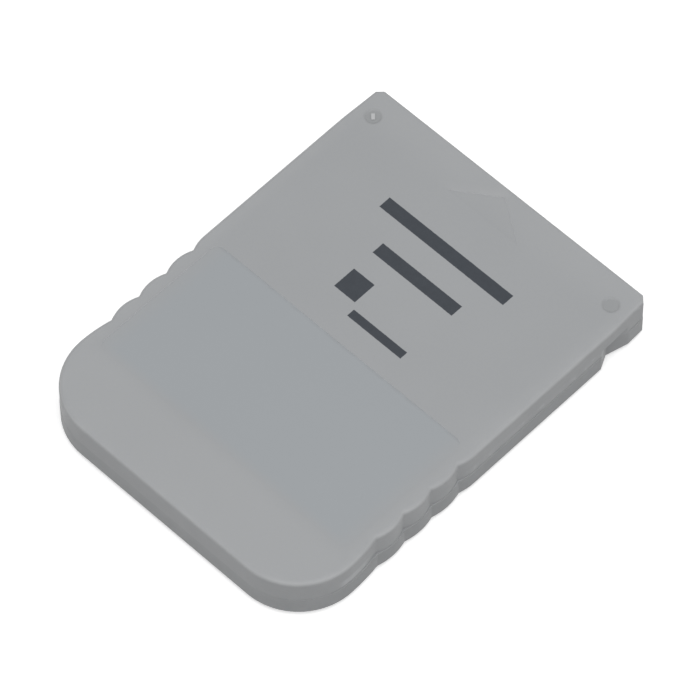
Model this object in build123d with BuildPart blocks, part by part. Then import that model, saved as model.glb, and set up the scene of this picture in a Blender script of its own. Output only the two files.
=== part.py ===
from build123d import *
import os

# A console memory card: two moulded halves round a circuit board, closed by one screw.
# Millimetres. The origin is the middle of the underside. +X runs across the card,
# +Y towards the connector end and +Z up through the printed face.

# Card body
card_width = 42.0
card_length = 56.0
card_height = 6.6
seam_height = 3.25  # parting line between the halves
seam_step = 0.06  # how far the sides of the lower half stand proud
top_edge_radius = 0.5
bottom_edge_chamfer = 0.8
grip_corner_radius = 8.1
connector_corner_chamfer = 0.75
nose_taper = 0.2  # drawn in on each side from the notch to the connector end

# Finger grips, a row of valleys on each side
valley_count = 4
valley_pitch = 4.31
upper_valley_depth = 0.5
lower_valley_depth = 0.32
valley_radius = 0.3  # at each valley's point
first_valley_setback = 12.46  # from the grip end

# Detent notches, low on each side
notch_setback = 6.05  # from the connector end to the notch's point
notch_run = 1.75  # from the point to the grip side's end
notch_ramp = 3.25  # from the point to the connector side's end
notch_depth = 0.87
notch_height = 4.35

# Label recess, insertion arrow and dimples in the upper face
recess_setback = 8.9  # from the grip end
recess_length = 18.9
recess_margin = 2.0  # to each side of the card
recess_corner_radius = 1.0
recess_depth = 0.07
arrow_setback = 1.3  # from the connector end to the arrow's point
arrow_width = 10.8
arrow_length = 3.7
arrow_depth = 0.06
dimple_setback = 3.6  # from the connector end
dimple_margin = 2.6  # from each side of the card
dimple_diameter = 2.1
dimple_floor_diameter = 1.6
dimple_depth = 0.12
gate_mark_length = 0.85  # moulding scar in the left dimple
gate_mark_width = 0.45
gate_mark_turn = 135

# Walls and fits
side_wall = 1.7
roof_thickness = 1.3
floor_thickness = 1.3
fit = 0.1  # clearance between pieces that locate each other

# Tongue of the lower half and hooks of the upper half
tongue_height = 0.8
tongue_thickness = 0.6
tongue_notch_gap = 2.0  # from the tongue's end to the notch
hook_width = 2.5
hook_thickness = 0.9
hook_reach = 1.0  # below the seam
hook_margin = 0.8  # from the side wall

# Circuit board and what holds it
board_thickness = 1.0
board_clearance = 0.2
board_boss_gap = 3.5  # from the screw boss to the board's rear edge
board_roof_gap = 0.2
hold_down_width = 1.0
hold_down_spacing = 12.0
hold_down_count = 3
hold_down_margin = 2.0  # from the board's front and rear edges
post_diameter = 2.2
post_margin = 2.0  # from the board's edges to a post's centre
pin_diameter = 1.2

# Contact pads and the ribs between their groups
pad_groups = (2, 3, 3)
pad_pitch = 3.3
pad_width = 2.4
pad_length = 6.5
pad_thickness = 0.1
pad_setback = 0.4  # from the board's front edge
pad_group_gap = 1.2
window_margin = 0.65  # beyond the outer pads
contact_rib_thickness = 1.0
contact_rib_length = 8.6
contact_rib_setback = 0.6  # from the connector end

# Chips, measured from the board's front edge
chip_standoff = 0.1
lead_thickness = 0.15
lead_shoulder = 0.3
lead_foot = 0.55
lead_reach = 1.0  # from the chip's side to the toe
memory_place = (-7.2, 16.0)
memory_width = 6.5
memory_length = 13.4
memory_height = 1.2
memory_lead_count = 12  # a side
memory_lead_pitch = 1.05
memory_lead_width = 0.36
controller_place = (6.6, 14.4)
controller_size = 8.0
controller_height = 1.3
controller_lead_count = 8  # a side
controller_lead_pitch = 0.8
controller_lead_width = 0.34
chip_edge_chamfer = 0.2
pin_mark_diameter = 0.9
pin_mark_depth = 0.1
pin_mark_margin = 1.3

# Small parts, measured from the board's front edge
regulator_place = (6.6, 22.4)
regulator_width = 4.5
regulator_length = 2.4
regulator_height = 1.4
regulator_lead_count = 3
regulator_lead_pitch = 1.5
regulator_lead_width = 0.5
regulator_lead_reach = 0.9
regulator_lead_thickness = 0.4
diode_place = (0.0, 22.4)
diode_length = 2.7
diode_width = 1.5
diode_height = 1.1
diode_tab_reach = 0.5
diode_tab_width = 0.7
diode_tab_thickness = 0.3
capacitor_places = ((-0.7, 9.4), (-0.7, 12.2), (-0.7, 15.0), (-0.7, 17.8))
capacitor_length = 2.0
capacitor_width = 1.2
capacitor_height = 1.0
resistor_places = ((1.9, 20.2), (11.0, 21.0), (11.0, 22.6), (11.0, 24.2))
resistor_length = 1.6
resistor_width = 0.8
resistor_height = 0.5
end_cap_share = 0.2  # of a small part's length, at each end
end_cap_thickness = 0.03

# Case screw, driven from the underside
screw_setback = 10.5  # from the grip end
screw_diameter = 1.9
screw_head_diameter = 3.6
screw_head_height = 1.1
screw_head_chamfer = 0.35
screw_sink = 0.2  # from the underside to the head
screw_seat_thickness = 0.9
screw_tip_gap = 0.3
drive_slot_width = 0.5
drive_slot_length = 1.9
drive_slot_depth = 0.6
boss_wall = 0.9

# Levels and lines shared by the pieces
half_width = card_width / 2
connector_end = card_length / 2
grip_end = -card_length / 2
roof_bottom = card_height - roof_thickness
board_top = roof_bottom - board_roof_gap
board_bottom = board_top - board_thickness
cavity_half_width = half_width - side_wall
cavity_front = connector_end - side_wall
cavity_back = grip_end + side_wall
valley_lines = [grip_end + first_valley_setback + n * valley_pitch for n in range(valley_count)]
notch_y = connector_end - notch_setback
tongue_end = notch_y - notch_run - tongue_notch_gap
recess_y = grip_end + recess_setback + recess_length / 2
arrow_point = connector_end - arrow_setback
dimple_x = half_width - dimple_margin
dimple_y = connector_end - dimple_setback
screw_y = grip_end + screw_setback
screw_seat = screw_sink + screw_head_height
boss_top = screw_seat + screw_seat_thickness
head_bore_diameter = screw_head_diameter + 2 * fit
boss_diameter = head_bore_diameter + 2 * boss_wall
hook_front = cavity_front - fit
hook_x = cavity_half_width - hook_margin - hook_width / 2
board_half_width = cavity_half_width - board_clearance
board_front = hook_front - hook_thickness - board_clearance
board_back = screw_y + boss_diameter / 2 + board_boss_gap
board_length = board_front - board_back
board_y = (board_front + board_back) / 2
post_x = board_half_width - post_margin
post_y = board_back + post_margin

# Pads from left to right, and the ribs halfway between neighbouring groups
pad_group_of = [group for group, count in enumerate(pad_groups) for _ in range(count)]
pad_count = len(pad_group_of)
pad_row = (pad_count - 1) * pad_pitch + (len(pad_groups) - 1) * pad_group_gap
pad_lines = [n * pad_pitch + group * pad_group_gap - pad_row / 2 for n, group in enumerate(pad_group_of)]
rib_lines = [
    (pad_lines[n] + pad_lines[n + 1]) / 2
    for n in range(pad_count - 1)
    if pad_group_of[n] != pad_group_of[n + 1]
]
window_width = pad_row + pad_width + 2 * window_margin


def card_outline(inset, valley_depth):
    """The card's plan, its sides drawn in by inset and its ends where they are."""
    side = half_width - inset
    nose_side = side - nose_taper
    corner_y = grip_end + grip_corner_radius
    valley_x = side - valley_depth
    valleys = [(valley_x, y) for y in valley_lines]
    straight_start = (side, valley_lines[-1] + valley_pitch / 2)
    with BuildSketch() as outline:
        with BuildLine():
            Line((0, grip_end), (side - grip_corner_radius, grip_end))
            CenterArc((side - grip_corner_radius, corner_y), grip_corner_radius, -90, 90)
            TangentArc((side, corner_y), valleys[0], tangent=(0, 1))
            for low, high in zip(valleys, valleys[1:]):
                ThreePointArc(low, (side, (low[1] + high[1]) / 2), high)
            TangentArc(straight_start, valleys[-1], tangent=(0, -1))
            Polyline(
                straight_start, (side, notch_y), (nose_side, connector_end - connector_corner_chamfer),
                (nose_side - connector_corner_chamfer, connector_end), (0, connector_end),
            )
            mirror(about=Plane.YZ)
        make_face()
        fillet(outline.vertices().filter_by(lambda v: abs(abs(v.X) - valley_x) < fit), valley_radius)
    return outline.sketch


def cavity_outline(growth):
    """The plan of the space inside the walls, grown outwards by growth."""
    front = cavity_front + growth
    back = cavity_back - growth
    with BuildSketch() as outline:
        with Locations((0, (front + back) / 2)):
            Rectangle(2 * (cavity_half_width + growth), front - back)
        fillet(outline.vertices().group_by(Axis.Y)[0], grip_corner_radius - side_wall + growth)
    return outline.sketch


def seam_ring(thickness, end):
    """The plan of the tongue round the seam, or of its groove, up to the line y = end."""
    with BuildSketch() as ring:
        add(cavity_outline(thickness))
        add(cavity_outline(0), mode=Mode.SUBTRACT)
        with Locations((0, end)):
            Rectangle(card_width, card_length, align=(Align.CENTER, Align.MIN), mode=Mode.SUBTRACT)
    return ring.sketch


def notch_pair():
    """The plan of the two detent notches, each a point with a steep side and a ramp."""
    with BuildSketch() as notches:
        with BuildLine():
            Polyline(
                (half_width, notch_y - notch_run), (half_width - notch_depth, notch_y),
                (half_width, notch_y + notch_ramp), (half_width + notch_depth, notch_y),
                close=True,
            )
        make_face()
        mirror(about=Plane.YZ)
    return notches.sketch


def board_place(place):
    """A point on the board's underside, from its distance across and behind the front edge."""
    return (place[0], board_front - place[1], board_bottom)


upper_outline = card_outline(seam_step, upper_valley_depth)
lower_outline = card_outline(0, lower_valley_depth)
cavity = cavity_outline(0)
tongue_ring = seam_ring(tongue_thickness, tongue_end)
groove_ring = seam_ring(tongue_thickness + fit, tongue_end + fit)
notches = notch_pair()
os.makedirs("parts", exist_ok=True)

# Upper half
with BuildPart() as top_shell:
    with BuildSketch(Plane.XY.offset(seam_height)):
        add(upper_outline)
    extrude(amount=card_height - seam_height)
    fillet(top_shell.faces().sort_by(Axis.Z)[-1].edges(), top_edge_radius)
    # Label recess
    with BuildSketch(Plane.XY.offset(card_height)):
        with Locations((0, recess_y)):
            RectangleRounded(card_width - 2 * recess_margin, recess_length, recess_corner_radius)
    extrude(amount=-recess_depth, mode=Mode.SUBTRACT)
    # Insertion arrow, pointing to the connector end
    with BuildSketch(Plane.XY.offset(card_height)):
        with BuildLine():
            Polyline(
                (0, arrow_point), (-arrow_width / 2, arrow_point - arrow_length),
                (arrow_width / 2, arrow_point - arrow_length), close=True,
            )
        make_face()
    extrude(amount=-arrow_depth, mode=Mode.SUBTRACT)
    # Round dimples at the connector corners, the left one with a moulding scar level with the face
    with Locations((-dimple_x, dimple_y, card_height), (dimple_x, dimple_y, card_height)):
        Cone(
            dimple_floor_diameter / 2, dimple_diameter / 2, dimple_depth,
            align=(Align.CENTER, Align.CENTER, Align.MAX), mode=Mode.SUBTRACT,
        )
    with BuildSketch(Plane.XY.offset(card_height)):
        with Locations((-dimple_x, dimple_y)):
            Rectangle(gate_mark_length, gate_mark_width, rotation=gate_mark_turn)
    extrude(amount=-dimple_depth)
    # Hollow and groove for the tongue
    with BuildSketch(Plane.XY.offset(seam_height)):
        add(cavity)
    extrude(amount=roof_bottom - seam_height, mode=Mode.SUBTRACT)
    with BuildSketch(Plane.XY.offset(seam_height)):
        add(groove_ring)
    extrude(amount=tongue_height + fit, mode=Mode.SUBTRACT)
    # Detent notches
    with BuildSketch():
        add(notches)
    extrude(amount=notch_height, mode=Mode.SUBTRACT)
    # Upper part of the contact window
    with BuildSketch(Plane.XY.offset(seam_height)):
        with Locations((0, cavity_front)):
            Rectangle(window_width, 2 * side_wall, align=(Align.CENTER, Align.MIN))
    extrude(amount=board_bottom - seam_height, mode=Mode.SUBTRACT)
    # Ribs that hold the board down
    with BuildSketch(Plane.XY.offset(board_top)):
        with Locations((0, board_y)):
            with GridLocations(hold_down_spacing, 0, hold_down_count, 1):
                Rectangle(hold_down_width, board_length - 2 * hold_down_margin)
    extrude(amount=board_roof_gap)
    # Hooks behind the end wall of the lower half
    with BuildSketch(Plane.XY.offset(seam_height - hook_reach)):
        with Locations((-hook_x, hook_front), (hook_x, hook_front)):
            Rectangle(hook_width, hook_thickness, align=(Align.CENTER, Align.MAX))
    extrude(amount=roof_bottom - seam_height + hook_reach)
    with BuildSketch(Plane.XY.offset(seam_height)):
        with Locations((-hook_x, cavity_front), (hook_x, cavity_front)):
            Rectangle(hook_width, hook_thickness, align=(Align.CENTER, Align.MAX))
    extrude(amount=roof_bottom - seam_height)
    # Screw boss with its pilot hole
    with BuildSketch(Plane.XY.offset(boss_top)):
        with Locations((0, screw_y)):
            Circle(screw_diameter / 2 + fit + boss_wall)
            Circle(screw_diameter / 2 + fit, mode=Mode.SUBTRACT)
    extrude(amount=roof_bottom - boss_top)
top_shell.part.label = "top_shell"
export_step(top_shell.part, "parts/top_shell.step")

# Lower half
with BuildPart() as bottom_shell:
    with BuildSketch(Plane.XY.offset(seam_height)):
        add(lower_outline)
        add(notches, mode=Mode.SUBTRACT)
    extrude(amount=-seam_height)
    chamfer(bottom_shell.faces().sort_by(Axis.Z)[0].edges(), bottom_edge_chamfer)
    # Hollow, and the tongue that locates the upper half
    with BuildSketch(Plane.XY.offset(floor_thickness)):
        add(cavity)
    extrude(amount=seam_height - floor_thickness, mode=Mode.SUBTRACT)
    with BuildSketch(Plane.XY.offset(seam_height)):
        add(tongue_ring)
    extrude(amount=tongue_height)
    # Contact window, and the ribs between the contact groups
    with BuildSketch(Plane.XY.offset(floor_thickness)):
        with Locations((0, cavity_front)):
            Rectangle(window_width, 2 * side_wall, align=(Align.CENTER, Align.MIN))
    extrude(amount=seam_height - floor_thickness, mode=Mode.SUBTRACT)
    with BuildSketch(Plane.XY.offset(floor_thickness)):
        with Locations(*[(x, connector_end - contact_rib_setback) for x in rib_lines]):
            Rectangle(contact_rib_thickness, contact_rib_length, align=(Align.CENTER, Align.MAX))
    extrude(amount=board_bottom - floor_thickness)
    # Posts under the board, with pins through it
    with BuildSketch(Plane.XY.offset(floor_thickness)):
        with Locations((-post_x, post_y), (post_x, post_y)):
            Circle(post_diameter / 2)
    extrude(amount=board_bottom - floor_thickness)
    with BuildSketch(Plane.XY.offset(board_bottom)):
        with Locations((-post_x, post_y), (post_x, post_y)):
            Circle(pin_diameter / 2)
    extrude(amount=board_thickness)
    # Screw boss, bored from the underside
    with BuildSketch(Plane.XY.offset(floor_thickness)):
        with Locations((0, screw_y)):
            Circle(boss_diameter / 2)
    extrude(amount=boss_top - floor_thickness)
    with Locations(Plane((0, screw_y, 0), z_dir=(0, 0, -1))):
        CounterBoreHole(screw_diameter / 2 + fit, head_bore_diameter / 2, screw_seat, depth=card_height)
bottom_shell.part.label = "bottom_shell"
export_step(bottom_shell.part, "parts/bottom_shell.step")

# Circuit board
with BuildPart() as circuit_board:
    with BuildSketch(Plane.XY.offset(board_bottom)):
        with Locations((0, board_y)):
            Rectangle(2 * board_half_width, board_length)
        with Locations((-post_x, post_y), (post_x, post_y)):
            Circle(pin_diameter / 2 + fit, mode=Mode.SUBTRACT)
    extrude(amount=board_thickness)
circuit_board.part.label = "circuit_board"
export_step(circuit_board.part, "parts/circuit_board.step")

# Contact pads on the board's underside
for number, x in enumerate(pad_lines, start=1):
    with BuildPart() as contact_pad:
        with BuildSketch(Plane.XY.offset(board_bottom)):
            with Locations((x, board_front - pad_setback)):
                Rectangle(pad_width, pad_length, align=(Align.CENTER, Align.MAX))
        extrude(amount=-pad_thickness)
    contact_pad.part.label = f"contact_pad_{number}"
    export_step(contact_pad.part, f"parts/contact_pad_{number}.step")


def gull_wing(body_height, width):
    """One bent lead, from a chip's side at x = 0 out to its foot under the board at z = 0."""
    exit_z = -chip_standoff - body_height / 2
    half = lead_thickness / 2
    foot_start = lead_reach - lead_foot
    with BuildPart() as lead:
        with BuildSketch(Plane.XZ):
            with BuildLine():
                Polyline(
                    (0, exit_z - half), (lead_shoulder, exit_z - half),
                    (foot_start + half, -lead_thickness), (lead_reach, -lead_thickness),
                    (lead_reach, 0), (foot_start - half, 0),
                    (lead_shoulder - lead_thickness, exit_z + half), (0, exit_z + half),
                    close=True,
                )
            make_face()
        extrude(amount=width / 2, both=True)
    return lead.part


memory_lead = gull_wing(memory_height, memory_lead_width)
controller_lead = gull_wing(controller_height, controller_lead_width)
memory_point = board_place(memory_place)
controller_point = board_place(controller_place)

# Memory chip, leads on its two long sides
with BuildPart() as memory_chip:
    with BuildSketch(Plane(memory_point).offset(-chip_standoff)):
        Rectangle(memory_width, memory_length)
    extrude(amount=-memory_height)
    chamfer(memory_chip.edges().filter_by(Plane.XY), chip_edge_chamfer)
    # Half-round mark at the end of pin 1
    with BuildSketch(Plane(memory_point).offset(-chip_standoff - memory_height)):
        with Locations((0, memory_length / 2)):
            Circle(pin_mark_diameter / 2)
    extrude(amount=pin_mark_depth, mode=Mode.SUBTRACT)
memory_chip.part.label = "memory_chip"
export_step(memory_chip.part, "parts/memory_chip.step")

with BuildPart() as memory_chip_leads:
    with Locations(memory_point):
        with PolarLocations(memory_width / 2, 2):
            with GridLocations(0, memory_lead_pitch, 1, memory_lead_count):
                add(memory_lead)
memory_chip_leads.part.label = "memory_chip_leads"
export_step(memory_chip_leads.part, "parts/memory_chip_leads.step")

# Controller chip, leads on all four sides
with BuildPart() as controller_chip:
    with BuildSketch(Plane(controller_point).offset(-chip_standoff)):
        Rectangle(controller_size, controller_size)
    extrude(amount=-controller_height)
    chamfer(controller_chip.edges().filter_by(Plane.XY), chip_edge_chamfer)
    with Locations(
        (
            controller_point[0] - controller_size / 2 + pin_mark_margin,
            controller_point[1] + controller_size / 2 - pin_mark_margin,
            board_bottom - chip_standoff - controller_height,
        )
    ):
        Cylinder(pin_mark_diameter / 2, 2 * pin_mark_depth, mode=Mode.SUBTRACT)
controller_chip.part.label = "controller_chip"
export_step(controller_chip.part, "parts/controller_chip.step")

with BuildPart() as controller_chip_leads:
    with Locations(controller_point):
        with PolarLocations(controller_size / 2, 4):
            with GridLocations(0, controller_lead_pitch, 1, controller_lead_count):
                add(controller_lead)
controller_chip_leads.part.label = "controller_chip_leads"
export_step(controller_chip_leads.part, "parts/controller_chip_leads.step")

# Voltage regulator, a small block with three flat leads
regulator_point = board_place(regulator_place)
with BuildPart() as voltage_regulator:
    with BuildSketch(Plane(regulator_point)):
        Rectangle(regulator_width, regulator_length)
    extrude(amount=-regulator_height)
    chamfer(voltage_regulator.faces().sort_by(Axis.Z)[0].edges(), chip_edge_chamfer)
voltage_regulator.part.label = "voltage_regulator"
export_step(voltage_regulator.part, "parts/voltage_regulator.step")

with BuildPart() as regulator_leads:
    with BuildSketch(Plane(regulator_point)):
        with Locations((0, -regulator_length / 2)):
            with GridLocations(regulator_lead_pitch, 0, regulator_lead_count, 1):
                Rectangle(regulator_lead_width, regulator_lead_reach, align=(Align.CENTER, Align.MAX))
    extrude(amount=-regulator_lead_thickness)
regulator_leads.part.label = "regulator_leads"
export_step(regulator_leads.part, "parts/regulator_leads.step")

# Protection diode with a tab at each end
diode_point = board_place(diode_place)
with BuildPart() as diode:
    with BuildSketch(Plane(diode_point)):
        Rectangle(diode_length, diode_width)
    extrude(amount=-diode_height)
    chamfer(diode.faces().sort_by(Axis.Z)[0].edges(), chip_edge_chamfer)
    with BuildSketch(Plane(diode_point)):
        Rectangle(diode_length + 2 * diode_tab_reach, diode_tab_width)
    extrude(amount=-diode_tab_thickness)
diode.part.label = "diode"
export_step(diode.part, "parts/diode.step")


def two_ended_part(place, length, width, height):
    """A chip capacitor or resistor: a block whose two ends are capped with metal."""
    cap_length = length * end_cap_share
    with BuildPart() as block:
        with BuildSketch(Plane(board_place(place))):
            Rectangle(length, width)
        extrude(amount=-height)
        with BuildSketch(Plane(board_place(place))):
            with GridLocations(length - cap_length, 0, 2, 1):
                Rectangle(cap_length, width + 2 * end_cap_thickness)
        extrude(amount=-height - end_cap_thickness)
    return block.part


for number, place in enumerate(capacitor_places, start=1):
    capacitor = two_ended_part(place, capacitor_length, capacitor_width, capacitor_height)
    capacitor.label = f"capacitor_{number}"
    export_step(capacitor, f"parts/capacitor_{number}.step")

for number, place in enumerate(resistor_places, start=1):
    resistor = two_ended_part(place, resistor_length, resistor_width, resistor_height)
    resistor.label = f"resistor_{number}"
    export_step(resistor, f"parts/resistor_{number}.step")

# Case screw, head down in its counterbore
with BuildPart() as case_screw:
    with BuildSketch(Plane((0, screw_y, screw_sink))):
        Circle(screw_head_diameter / 2)
    extrude(amount=screw_head_height)
    chamfer(case_screw.edges().sort_by(Axis.Z)[0], screw_head_chamfer)
    with BuildSketch(Plane((0, screw_y, screw_seat))):
        Circle(screw_diameter / 2)
    extrude(amount=roof_bottom - screw_tip_gap - screw_seat)
    with BuildSketch(Plane((0, screw_y, screw_sink))):
        Rectangle(drive_slot_length, drive_slot_width)
        Rectangle(drive_slot_width, drive_slot_length)
    extrude(amount=drive_slot_depth, mode=Mode.SUBTRACT)
case_screw.part.label = "case_screw"
export_step(case_screw.part, "parts/case_screw.step")
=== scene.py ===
from math import radians

import bpy
from mathutils import Euler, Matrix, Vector


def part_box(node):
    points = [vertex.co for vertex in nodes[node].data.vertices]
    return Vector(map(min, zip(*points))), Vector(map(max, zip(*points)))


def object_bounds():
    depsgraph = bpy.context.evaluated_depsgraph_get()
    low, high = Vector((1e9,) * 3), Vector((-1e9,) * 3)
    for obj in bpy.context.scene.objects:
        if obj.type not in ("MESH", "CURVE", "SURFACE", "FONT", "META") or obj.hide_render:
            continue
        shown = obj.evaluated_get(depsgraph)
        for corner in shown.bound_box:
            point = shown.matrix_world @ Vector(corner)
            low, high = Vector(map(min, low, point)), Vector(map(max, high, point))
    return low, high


# A console memory card on a pale floor. Metres; the card lies on z = 0 with its connector end to +Y.
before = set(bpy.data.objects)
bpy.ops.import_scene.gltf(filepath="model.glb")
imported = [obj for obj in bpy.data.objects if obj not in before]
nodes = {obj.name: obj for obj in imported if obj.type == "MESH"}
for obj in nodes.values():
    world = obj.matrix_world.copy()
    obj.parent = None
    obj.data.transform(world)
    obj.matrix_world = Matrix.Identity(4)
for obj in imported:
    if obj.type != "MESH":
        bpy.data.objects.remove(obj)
cad_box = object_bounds()

MM = 0.001
PER_METRE = 1000.0

# Camera, fitted to the card's corners, rims and grip valleys
CAMERA_AZIMUTH = 43.98
CAMERA_ELEVATION = 57.48
CAMERA_DISTANCE = 679.3 * MM
CAMERA_RIGHT = 1.075 * MM
CAMERA_UP = 2.552 * MM
FOCAL_PIXELS = 6064.9
IMAGE_PIXELS = 700
SENSOR_WIDTH = 36.0

# Light and floor
SKY_STRENGTH = 0.48
SOFTBOX_POWER = 4.85
SOFTBOX_SIZE = 0.9
SOFTBOX_DISTANCE = 0.9
SOFTBOX_TILT = 19.0
SOFTBOX_AZIMUTH = 56.0
FLOOR_SIZE = 8.0
FLOOR_GAP = 0.01 * MM
LIGHT_INSET = 0.9  # millimetres inside the card's outline where the floor opens to light
SIGHT_INSET = 1.8  # and to the eye, further in than the notches reach

# The card in millimetres, its overall sizes from the frame
CARD_WIDTH, CARD_LENGTH, FACE_HEIGHT = (cad_box[1] - cad_box[0]) * PER_METRE
HALF_WIDTH = CARD_WIDTH / 2
HALF_LENGTH = CARD_LENGTH / 2
GRIP_CORNER_RADIUS = 8.1
SEAM_HEIGHT = 3.25

# Label recess, insertion arrow and dimples of the upper face
RECESS_SETBACK = 8.9  # from the grip end
RECESS_LENGTH = 18.9
RECESS_MARGIN = 2.0  # to each side of the card
RECESS_DEPTH = 0.07
RECESS_START = RECESS_SETBACK - HALF_LENGTH
RECESS_CENTRE = (0.0, RECESS_START + RECESS_LENGTH / 2)
RECESS_SIZE = (CARD_WIDTH - 2 * RECESS_MARGIN, RECESS_LENGTH)
ARROW_SETBACK = 1.3  # from the connector end to the point
ARROW_POINT = (0.0, HALF_LENGTH - ARROW_SETBACK)
ARROW_SIZE = (10.8, 3.7)
DIMPLE_SETBACK = 3.6  # from the connector end
DIMPLE_MARGIN = 2.6  # from each side of the card
DIMPLE_RADIUS = 1.05
DIMPLE_X = HALF_WIDTH - DIMPLE_MARGIN
DIMPLE_Y = HALF_LENGTH - DIMPLE_SETBACK
LEFT_DIMPLE = (-DIMPLE_X, DIMPLE_Y)
RIGHT_DIMPLE = (DIMPLE_X, DIMPLE_Y)
DIMPLE_GLINT_SIZE = (0.85, 0.45)
HALF_ROOT = 0.5 ** 0.5  # turns the painted glint by 45 degrees

# Plain print: the centre and size of each shape
LONG_BAR = ((0.2, 16.85), (19.1, 1.7))
SHORT_BAR = ((0.5, 11.85), (12.2, 1.7))
SQUARE = ((-4.0, 6.4), (3.2, 3.2))
THIN_BAR = ((2.3, 3.5), (8.2, 1.1))
PRINTED_SHAPES = (LONG_BAR, SHORT_BAR, SQUARE, THIN_BAR)

# Where wear and painted light start and where they are full, in millimetres
GRIP_END_RUB = (-18.0, -21.0)
CONNECTOR_END_RUB = (21.5, 26.5)
OUTLINE_RUB_AND_LIGHT = (-2.4, -0.3)
SIDE_WALLS = (HALF_WIDTH - 1.5, HALF_WIDTH - 1.0)
SIDE_REACH = (23.0, 21.0)
STREAK_HEIGHT = SEAM_HEIGHT + 0.7
STREAK_FADE = (0.75, 0.25)
STRAIGHT_SIDE = (-2.5, -0.5)
TURN_START = (-16.5, -18.0)
TURN_END = (-22.0, -20.5)
LOWER_BAND = (SEAM_HEIGHT, SEAM_HEIGHT - 0.3)
RECESS_COOL_SIDES = (HALF_WIDTH - 1.4, HALF_WIDTH - 4.5)
RECESS_COOL_START = (RECESS_START - 0.3, RECESS_START + 1.5)
RECESS_SHADE_LINE = (RECESS_START + RECESS_LENGTH - 0.45, RECESS_START + RECESS_LENGTH - 0.1)
ARROW_SMEAR_START = (ARROW_POINT[1] - 3.9, ARROW_POINT[1] - 3.1)

# Plastic
PLASTIC_SPECULAR = 0.25
PLASTIC_ROUGHNESS = 0.46
GRAIN_DEPTH = 0.012
GRAIN_STRENGTH = 0.35

# Share of a small part's length that each tinned end takes
CHIP_CAP_SHARE = 0.2
DIODE_TAB_SHARE = 0.135


def shade(red, green, blue):
    """A linear colour from 8-bit display values."""
    linear = []
    for value in (red, green, blue):
        part = value / 255
        linear.append(part / 12.92 if part <= 0.04045 else ((part + 0.055) / 1.055) ** 2.4)
    return (*linear, 1.0)


# Colours of the stage
BLACK = shade(0, 0, 0)
WHITE = shade(255, 255, 255)
FLOOR_BOUNCE = shade(160, 160, 160)  # lights the card from below
FLOOR_GLOW = shade(168, 168, 168)  # is added where the floor itself is seen

# Colours of the case, a pair where one wanders between two
UPPER_GREY = (shade(162, 164, 166), shade(167, 169, 171))
# The lower grey is darker than the upper one as painted shade
LOWER_SHADED_GREY = (shade(153, 155, 157), shade(158, 160, 162))
SPECKLE_GREY = shade(140, 141, 143)
RUB_AND_HIGHLIGHT_GREY = shade(178, 179, 180)
SEAM_STREAK_HIGHLIGHT_GREY = shade(194, 196, 198)
LOWER_SIDE_SHADE_GREY = shade(118, 120, 122)
RECESS_GREY = shade(160, 165, 169)
EDGE_SHADE_GREY = shade(142, 144, 146)
ARROW_GREY = shade(150, 152, 154)
SMEAR_GREY = shade(184, 185, 186)
EDGE_HIGHLIGHT_GREY = shade(198, 199, 200)
STEP_WALL_LIGHT_GREY = (shade(219, 220, 221), shade(244, 245, 246))
DIMPLE_SHADE_GREY = shade(146, 148, 149)
DIMPLE_GLINT_GREY = shade(196, 197, 198)
SLATE_INK = (shade(47, 52, 59), shade(59, 64, 71))

# Colours of the board and its parts
SOLDER_MASK = (shade(18, 74, 48), shade(26, 88, 58))
MASKED_TRACK = shade(48, 118, 78)
TINNED_VIA = shade(178, 176, 160)
FIBREGLASS = (shade(150, 146, 96), shade(182, 176, 126))
GOLD = (shade(214, 178, 96), shade(236, 206, 132))
GOLD_TARNISH = shade(168, 128, 70)
BLACK_EPOXY = (shade(30, 30, 32), shade(44, 44, 46))
EPOXY_FILLER = shade(84, 84, 86)
BRIGHT_TIN = (shade(176, 176, 172), shade(214, 214, 210))
BRIGHT_ZINC = (shade(150, 152, 156), shade(190, 192, 196))
BLACK_GLASS = (shade(32, 32, 34), shade(46, 46, 48))
TAN_CERAMIC = (shade(150, 122, 92), shade(178, 150, 118))
BLACK_GLAZE = (shade(26, 26, 28), shade(40, 40, 42))


class Wire:
    """A shader socket that takes part in sums; each sum adds a Math node."""

    def __init__(self, finish, socket):
        self.finish = finish
        self.socket = socket

    def maths(self, operation, first, second=0.0):
        return self.finish.node("Math", {"operation": operation}, {0: first, 1: second})

    def __add__(self, other):
        return self.maths("ADD", self, other)

    def __radd__(self, other):
        return self.maths("ADD", other, self)

    def __sub__(self, other):
        return self.maths("SUBTRACT", self, other)

    def __rsub__(self, other):
        return self.maths("SUBTRACT", other, self)

    def __mul__(self, other):
        return self.maths("MULTIPLY", self, other)

    def __rmul__(self, other):
        return self.maths("MULTIPLY", other, self)

    def __abs__(self):
        return self.maths("ABSOLUTE", self)

    def root(self):
        return self.maths("SQRT", self)

    def largest(self, other):
        return self.maths("MAXIMUM", self, other)

    def smallest(self, other):
        return self.maths("MINIMUM", self, other)


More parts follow.
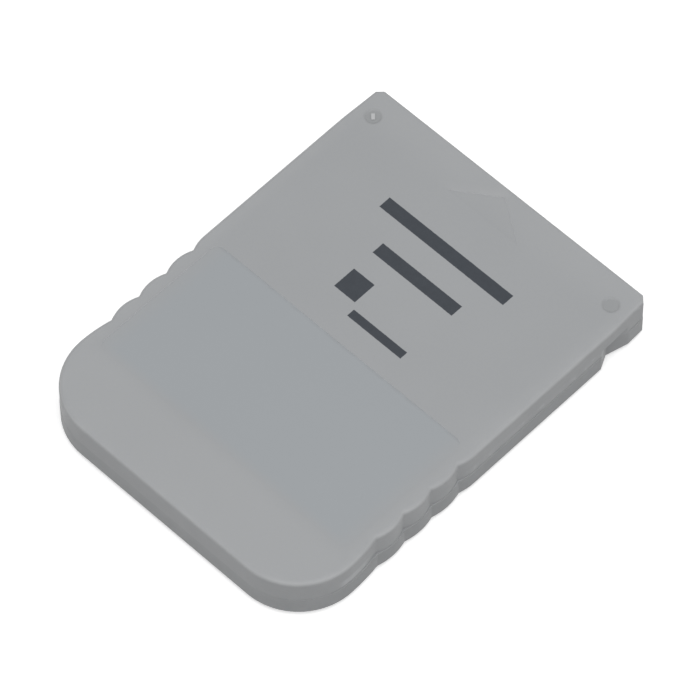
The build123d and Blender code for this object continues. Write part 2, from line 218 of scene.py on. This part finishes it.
class Finish:
    """One procedural material, read from the piece's own coordinates in millimetres, or the sky."""

    def __init__(self, name, library=bpy.data.materials):
        self.owner = library.new(name)
        self.owner.use_nodes = True
        self.tree = self.owner.node_tree

    def plug(self, socket, value):
        if isinstance(value, Wire):
            self.tree.links.new(value.socket, socket)
        else:
            socket.default_value = value

    def node(self, kind, settings=None, sockets=None, out=0):
        made = self.tree.nodes.new("ShaderNode" + kind)
        for name, value in (settings or {}).items():
            setattr(made, name, value)
        for name, value in (sockets or {}).items():
            self.plug(made.inputs[name], value)
        if isinstance(out, tuple):
            return [Wire(self, made.outputs[name]) for name in out]
        return Wire(self, made.outputs[out])

    def surface(self, **sockets):
        shader = self.tree.nodes["Principled BSDF"]
        for name, value in sockets.items():
            self.plug(shader.inputs[name.replace("_", " ")], value)
        return self.owner

    def place(self):
        """The point on the piece, in millimetres."""
        metres = self.node("TexCoord", out="Object")
        return self.node(
            "VectorMath", {"operation": "SCALE"}, {"Vector": metres, "Scale": PER_METRE}, out="Vector"
        )

    def axes(self, vector):
        return self.node("SeparateXYZ", {}, {"Vector": vector}, out=("X", "Y", "Z"))

    def facing(self):
        """The way the surface faces, along x, y and z."""
        return self.axes(self.node("NewGeometry", out="Normal"))

    def stretched(self, vector, factors):
        return self.node("VectorMath", {"operation": "MULTIPLY"}, {0: vector, 1: factors}, out="Vector")

    def noise(self, vector, scale, detail=3.0):
        return self.node("TexNoise", {}, {"Vector": vector, "Scale": scale, "Detail": detail}, out="Fac")

    def step(self, value, low, high):
        """0 at low, 1 at high, with a soft run between."""
        return self.node(
            "MapRange", {"interpolation_type": "SMOOTHSTEP"},
            {"Value": value, "From Min": low, "From Max": high}, out="Result",
        )

    def blend(self, factor, first, second):
        return self.node("Mix", {"data_type": "RGBA"}, {0: factor, 6: first, 7: second}, out=2)

    def bump(self, height, depth, strength):
        return self.node(
            "Bump", {}, {"Height": height, "Distance": depth * MM, "Strength": strength}, out="Normal"
        )


def distance(x, y, centre):
    across = x - centre[0]
    along = y - centre[1]
    return (across * across + along * along).root()


def panel(x, y, centre, size):
    """Distance outside a rectangle in plan, below 0 inside it."""
    across = abs(x - centre[0]) - size[0] / 2
    along = abs(y - centre[1]) - size[1] / 2
    return across.largest(along)


def triangle(x, y, tip, size):
    """Distance outside a triangle that points along +y, below 0 inside it."""
    width, height = size
    flank = abs(x - tip[0]) + (y - tip[1]) * (width / 2 / height)
    return flank.largest((tip[1] - height) - y)


def outside_card(finish, x, y):
    """Distance outside the card's plan, below 0 on it; only the grip end has round corners."""
    radius = finish.step(y, 1.0, -1.0) * GRIP_CORNER_RADIUS
    across = abs(x) - HALF_WIDTH + radius
    along = abs(y) - HALF_LENGTH + radius
    over_side = across.largest(0.0)
    over_end = along.largest(0.0)
    corner = (over_side * over_side + over_end * over_end).root()
    return corner + across.largest(along).smallest(0.0) - radius


class Plastic(Finish):
    """Satin grey moulded plastic with grain, edges paler from handling and a scuffed seam, and painted
    highlights on its rim, walls and seam.
    """

    def __init__(self, name, greys):
        super().__init__(name)
        self.point = self.place()
        self.x, self.y, self.z = self.axes(self.point)
        self.rightward, _, self.upward = self.facing()
        self.outside = outside_card(self, self.x, self.y)
        self.patchy = self.step(self.noise(self.point, scale=0.5), 0.3, 0.7)

        # Uneven pigment over centimetres, fine speckle and the spark-eroded grain of the mould
        self.speckle = self.noise(self.point, scale=3.0, detail=2.0)
        self.grain = self.noise(self.point, scale=5.5)
        self.colour = self.blend(self.noise(self.point, scale=0.09, detail=2.0), *greys)
        self.tint(self.speckle * 0.1, SPECKLE_GREY)

        # Paler at both ends and in a band inside the outline, from hands and slot; the band also lifts
        # the
        # walls as painted light, and the rounded rim gets a painted highlight
        ends = 0.19 * self.step(self.y, *GRIP_END_RUB) + 0.18 * self.step(self.y, *CONNECTOR_END_RUB)
        band = self.step(self.outside, *OUTLINE_RUB_AND_LIGHT) * (0.6 + 0.4 * self.patchy)
        rim = self.step(self.upward, 0.15, 0.6) * self.step(self.upward, 0.98, 0.8) * self.patchy
        self.rubbed_and_lit = ends.largest(band * 0.28) + rim * 0.2
        self.tint(self.rubbed_and_lit, RUB_AND_HIGHLIGHT_GREY)

        # Pale streak above the seam, partly wear and partly a painted highlight: faint along the
        # straight sides, with a few painted glints, and stronger where the sides turn into the grip end
        self.side = self.step(abs(self.x), *SIDE_WALLS) * self.step(abs(self.y), *SIDE_REACH)
        streak = self.step(abs(self.z - STREAK_HEIGHT), *STREAK_FADE) * self.side
        seam_glint = self.step(self.noise(self.point, scale=1.1, detail=2.0), 0.58, 0.65)
        straight = self.step(self.y, *STRAIGHT_SIDE) * (0.06 + 0.1 * self.patchy + 0.35 * seam_glint)
        turn = self.step(self.y, *TURN_START) * self.step(self.y, *TURN_END)
        self.tint(streak * (straight + turn * (0.55 + 0.25 * self.patchy)), SEAM_STREAK_HIGHLIGHT_GREY)

    def tint(self, amount, colour):
        self.colour = self.blend(amount, self.colour, colour)

    def moulded(self, relief, polish=0.0):
        self.surface(Specular_IOR_Level=PLASTIC_SPECULAR)
        return self.surface(
            Base_Color=self.colour,
            Roughness=PLASTIC_ROUGHNESS + 0.1 * self.speckle - 0.12 * self.rubbed_and_lit - polish,
            Normal=self.bump(relief, GRAIN_DEPTH, GRAIN_STRENGTH),
        )


def lower_plastic():
    """The lower half, darker than the upper as painted shade, its side band darker still as painted
    shade.
    """
    plastic = Plastic("lower_shaded_grey_plastic", LOWER_SHADED_GREY)
    # Side walls below the seam darker still, as painted shade
    plastic.tint(plastic.side * plastic.step(plastic.z, *LOWER_BAND) * 0.14, LOWER_SIDE_SHADE_GREY)
    return plastic.moulded(plastic.grain)


def upper_plastic():
    """The upper half, a little paler than the lower one, with the marks of its face."""
    plastic = Plastic("upper_grey_plastic", UPPER_GREY)
    point, x, y = plastic.point, plastic.x, plastic.y
    step = plastic.step
    below_face = FACE_HEIGHT - plastic.z
    on_face = step(below_face, 0.3, 0.2)

    # Label recess: a smoother floor, a touch cooler away from its ends, with painted shade along its far
    # edge
    sunk = step(panel(x, y, RECESS_CENTRE, RECESS_SIZE), 0.05, -0.05) * on_face
    sunk = sunk * step(below_face, 0.1 * RECESS_DEPTH, 0.9 * RECESS_DEPTH)
    cool = step(abs(x), *RECESS_COOL_SIDES) * step(y, *RECESS_COOL_START)
    plastic.tint(sunk * cool * 0.7, RECESS_GREY)
    clumped = step(plastic.noise(point, scale=0.9, detail=2.0), 0.4, 0.6)
    plastic.tint(sunk * step(y, *RECESS_SHADE_LINE) * (0.06 + 0.16 * clumped), EDGE_SHADE_GREY)

    # Insertion arrow: a slightly darker floor, and a pale smear along its left flank
    past_arrow = triangle(x, y, ARROW_POINT, ARROW_SIZE)
    in_arrow = step(past_arrow, 0.03, -0.03) * on_face
    smear = step(past_arrow, 2.6, 0.2) * step(past_arrow, -0.1, 0.1) * step(x, 0.8, -1.0)
    smear = smear * step(y, *ARROW_SMEAR_START) * step(plastic.upward, 0.5, 0.9) * on_face
    plastic.tint(in_arrow * 0.06, ARROW_GREY)
    plastic.tint(smear * (0.1 + 0.16 * plastic.patchy), SMEAR_GREY)

    # Painted highlight on the top edge: paler from the top of the walls round to the face
    edge_highlight = step(below_face, 0.8, 0.25) * step(plastic.upward, 0.95, 0.75)
    plastic.tint(edge_highlight * 0.24, EDGE_HIGHLIGHT_GREY)

    # Walls of these shallow steps, painted pale to lift their shade, palest where they face left
    lit_step_walls = step(plastic.upward, 0.6, 0.3) * step(plastic.outside, -0.7, -0.9) * on_face
    leftward = step(plastic.rightward, -0.2, -0.5)
    plastic.tint(lit_step_walls * 0.9, plastic.blend(leftward, *STEP_WALL_LIGHT_GREY))

    # Floors of the two dimples, painted darker as shade in the hollows, and a painted glint in the left
    # one
    from_dimple = distance(x, y, LEFT_DIMPLE).smallest(distance(x, y, RIGHT_DIMPLE))
    dimple_shade = step(from_dimple, 1.2 * DIMPLE_RADIUS, 0.8 * DIMPLE_RADIUS) * on_face
    plastic.tint(dimple_shade * 0.5, DIMPLE_SHADE_GREY)
    # Pale spot in the left dimple, a painted glint
    across = x - LEFT_DIMPLE[0]
    along = y - LEFT_DIMPLE[1]
    glint_x = (along - across) * HALF_ROOT
    glint_y = (across + along) * HALF_ROOT
    past_glint = panel(glint_x, glint_y, (0.0, 0.0), DIMPLE_GLINT_SIZE)
    dimple_glint = step(past_glint, 0.04, -0.04) * step(below_face, 0.04, 0.02)
    plastic.tint(dimple_glint * 0.85, DIMPLE_GLINT_GREY)

    # Plain print in slate ink: two long bars, a square and a short thin bar
    shapes = [panel(x, y, centre, size) for centre, size in PRINTED_SHAPES]
    mark = shapes[0]
    for shape in shapes[1:]:
        mark = mark.smallest(shape)
    ragged = mark + (plastic.noise(point, scale=6.0, detail=2.0) - 0.5) * 0.08
    ink = step(ragged, 0.03, -0.03) * step(below_face, 0.05, 0.02)
    thin_ink = plastic.noise(point, scale=1.2, detail=4.0)
    plastic.tint(ink * 0.96, plastic.blend(thin_ink, *SLATE_INK))

    relief = plastic.grain * (1 - 0.6 * sunk) * (1 - 0.7 * ink) + 0.8 * ink
    return plastic.moulded(relief, polish=0.05 * sunk + 0.06 * ink)


def circuit_board():
    """Green solder mask over tracks and vias, with bare fibreglass at the edges."""
    finish = Finish("green_circuit_board")
    point = finish.place()
    tracks = finish.node(
        "TexBrick", {"offset": 0.37, "squash": 1.6, "squash_frequency": 3},
        {"Vector": point, "Scale": 0.32, "Mortar Size": 0.035, "Mortar Smooth": 0.3,
         "Brick Width": 1.1, "Row Height": 0.3}, out="Fac",
    )
    spots = finish.node("TexVoronoi", {"feature": "F1"}, {"Vector": point, "Scale": 0.3}, out="Distance")
    via = finish.step(spots, 0.16, 0.12)
    resin = finish.noise(point, scale=0.6, detail=4.0)
    mask = finish.blend(resin, *SOLDER_MASK)
    mask = finish.blend(tracks * 0.7, mask, MASKED_TRACK)
    mask = finish.blend(via * 0.8, mask, TINNED_VIA)
    fibre = finish.noise(finish.stretched(point, (1.0, 1.0, 9.0)), scale=2.0)
    side = finish.step(abs(finish.facing()[2]), 0.6, 0.4)
    return finish.surface(
        Base_Color=finish.blend(side, mask, finish.blend(fibre, *FIBREGLASS)),
        Roughness=0.3 + 0.3 * side + 0.08 * resin,
        Normal=finish.bump(tracks + via, 0.03, 0.5),
    )


def gold_contact():
    """Gold plate with rubbing streaks along the pad and a little tarnish."""
    finish = Finish("gold_contact")
    point = finish.place()
    streaks = finish.noise(finish.stretched(point, (14.0, 0.7, 1.0)), scale=1.0)
    tarnish = finish.noise(point, scale=0.7)
    colour = finish.blend(streaks * 0.5, *GOLD)
    colour = finish.blend(finish.step(tarnish, 0.55, 0.75) * 0.4, colour, GOLD_TARNISH)
    return finish.surface(
        Base_Color=colour, Metallic=1.0, Roughness=0.22 + 0.2 * streaks,
        Normal=finish.bump(streaks, 0.004, 0.4),
    )


def chip_epoxy():
    """Black moulding compound with specks of filler."""
    finish = Finish("black_chip_epoxy")
    point = finish.place()
    filler = finish.noise(point, scale=7.0)
    haze = finish.noise(point, scale=0.4)
    colour = finish.blend(haze, *BLACK_EPOXY)
    colour = finish.blend(finish.step(filler, 0.6, 0.8) * 0.3, colour, EPOXY_FILLER)
    return finish.surface(
        Base_Color=colour, Roughness=0.56 + 0.14 * filler, Normal=finish.bump(filler, 0.02, 0.4)
    )


def tinned_metal(finish, point):
    """Colour and roughness of hot-tinned leads and end caps."""
    frost = finish.noise(point, scale=5.0, detail=4.0)
    return finish.blend(frost, *BRIGHT_TIN), 0.26 + 0.2 * frost


def tinned_leads():
    finish = Finish("tinned_leads")
    point = finish.place()
    colour, roughness = tinned_metal(finish, point)
    frost = finish.noise(point, scale=9.0, detail=2.0)
    return finish.surface(
        Base_Color=colour, Metallic=1.0, Roughness=roughness, Normal=finish.bump(frost, 0.006, 0.3)
    )


def capped_block(name, body_colours, node, cap_share):
    """A small part with tinned ends, its body in between."""
    finish = Finish(name)
    low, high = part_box(node)
    middle = (low.x + high.x) / 2 * PER_METRE
    half_length = (high.x - low.x) / 2 * PER_METRE
    cap_line = half_length * (1 - 2 * cap_share)
    point = finish.place()
    from_middle = abs(finish.axes(point)[0] - middle)
    cap = finish.step(from_middle, cap_line - 0.02, cap_line + 0.02)
    fired = finish.noise(point, scale=4.0)
    body = finish.blend(fired, *body_colours)
    tin, tin_roughness = tinned_metal(finish, point)
    return finish.surface(
        Base_Color=finish.blend(cap, body, tin), Metallic=cap,
        Roughness=(0.5 + 0.15 * fired) * (1 - cap) + tin_roughness * cap,
        Normal=finish.bump(fired, 0.01, 0.3),
    )


def zinc_screw():
    """Bright zinc plate over fine turning marks."""
    finish = Finish("zinc_plated_steel")
    point = finish.place()
    plating = finish.noise(point, scale=3.0, detail=4.0)
    turned = finish.noise(finish.stretched(point, (1.0, 1.0, 18.0)), scale=1.0, detail=2.0)
    return finish.surface(
        Base_Color=finish.blend(plating, *BRIGHT_ZINC), Metallic=1.0,
        Roughness=0.28 + 0.18 * plating, Normal=finish.bump(turned, 0.02, 0.5),
    )


def dress(material, *names):
    for name in names:
        for slot in nodes[name].material_slots:
            slot.material = material


def dress_card():
    dress(upper_plastic(), "top_shell")
    dress(lower_plastic(), "bottom_shell")
    dress(circuit_board(), "circuit_board")
    dress(gold_contact(), *[name for name in nodes if name.startswith("contact_pad")])
    dress(chip_epoxy(), "memory_chip", "controller_chip", "voltage_regulator")
    dress(tinned_leads(), "memory_chip_leads", "controller_chip_leads", "regulator_leads")
    dress(zinc_screw(), "case_screw")
    dress(capped_block("black_diode", BLACK_GLASS, "diode", DIODE_TAB_SHARE), "diode")
    for name in nodes:
        if name.startswith("capacitor"):
            dress(capped_block("fired_" + name, TAN_CERAMIC, name, CHIP_CAP_SHARE), name)
        elif name.startswith("resistor"):
            dress(capped_block("fired_" + name, BLACK_GLAZE, name, CHIP_CAP_SHARE), name)


def seen_directly(finish):
    """1 for rays that show the floor or sky themselves, 0 for the light they throw on the card."""
    camera, glossy, through = finish.node(
        "LightPath", out=("Is Camera Ray", "Is Glossy Ray", "Is Transmission Ray")
    )
    return camera.largest(glossy).largest(through)


def studio_floor():
    """A pale floor, open under the card and unseen from below so that the underside can be looked at."""
    bpy.ops.object.select_all(action="DESELECT")
    bpy.ops.mesh.primitive_plane_add(size=FLOOR_SIZE, location=(0.0, 0.0, -FLOOR_GAP))
    floor = bpy.context.object
    floor.name = "studio_floor"
    finish = Finish("pale_floor")
    seen = seen_directly(finish)
    colour = finish.blend(seen, FLOOR_BOUNCE, WHITE)
    glow = finish.blend(seen, BLACK, FLOOR_GLOW)
    finish.surface(Roughness=0.9, Specular_IOR_Level=0.0, Emission_Strength=1.0)
    finish.surface(Base_Color=colour, Emission_Color=glow)
    x, y, _ = finish.axes(finish.place())
    inset = LIGHT_INSET + (SIGHT_INSET - LIGHT_INSET) * seen
    under_card = finish.step(outside_card(finish, x, y) + inset, 0.0, -0.1)
    from_below = finish.node("NewGeometry", out="Backfacing")
    paint = Wire(finish, finish.tree.nodes["Principled BSDF"].outputs[0])
    clear = finish.node("BsdfTransparent")
    shown = finish.node("MixShader", {}, {0: under_card.largest(from_below), 1: paint, 2: clear})
    finish.plug(finish.tree.nodes["Material Output"].inputs["Surface"], shown)
    floor.data.materials.append(finish.owner)


def studio_light():
    """An even sky, white where it is seen, and one large softbox above the card."""
    sky = Finish("soft_sky", bpy.data.worlds)
    bpy.context.scene.world = sky.owner
    dim = sky.node("Background", {}, {"Strength": SKY_STRENGTH, "Color": WHITE})
    white = sky.node("Background", {}, {"Strength": 1.0, "Color": WHITE})
    shown = sky.node("MixShader", {}, {0: seen_directly(sky), 1: dim, 2: white})
    sky.plug(sky.tree.nodes["World Output"].inputs["Surface"], shown)
    aim = Euler((radians(SOFTBOX_TILT), 0.0, radians(SOFTBOX_AZIMUTH)))
    place = aim.to_matrix() @ Vector((0.0, 0.0, SOFTBOX_DISTANCE))
    bpy.ops.object.light_add(type="AREA", location=place, rotation=aim)
    softbox = bpy.context.object
    softbox.name = "softbox"
    softbox.data.size = SOFTBOX_SIZE
    softbox.data.energy = SOFTBOX_POWER


def photo_camera():
    turn = Euler((radians(90.0 - CAMERA_ELEVATION), 0.0, radians(CAMERA_AZIMUTH)))
    place = turn.to_matrix() @ Vector((CAMERA_RIGHT, CAMERA_UP, CAMERA_DISTANCE))
    bpy.ops.object.camera_add(location=place, rotation=turn)
    camera = bpy.context.object
    camera.name = "photo_camera"
    camera.data.sensor_width = SENSOR_WIDTH
    camera.data.lens = FOCAL_PIXELS * SENSOR_WIDTH / IMAGE_PIXELS
    bpy.context.scene.camera = camera


dress_card()
studio_floor()
studio_light()
photo_camera()
bpy.context.scene.view_settings.view_transform = "Standard"
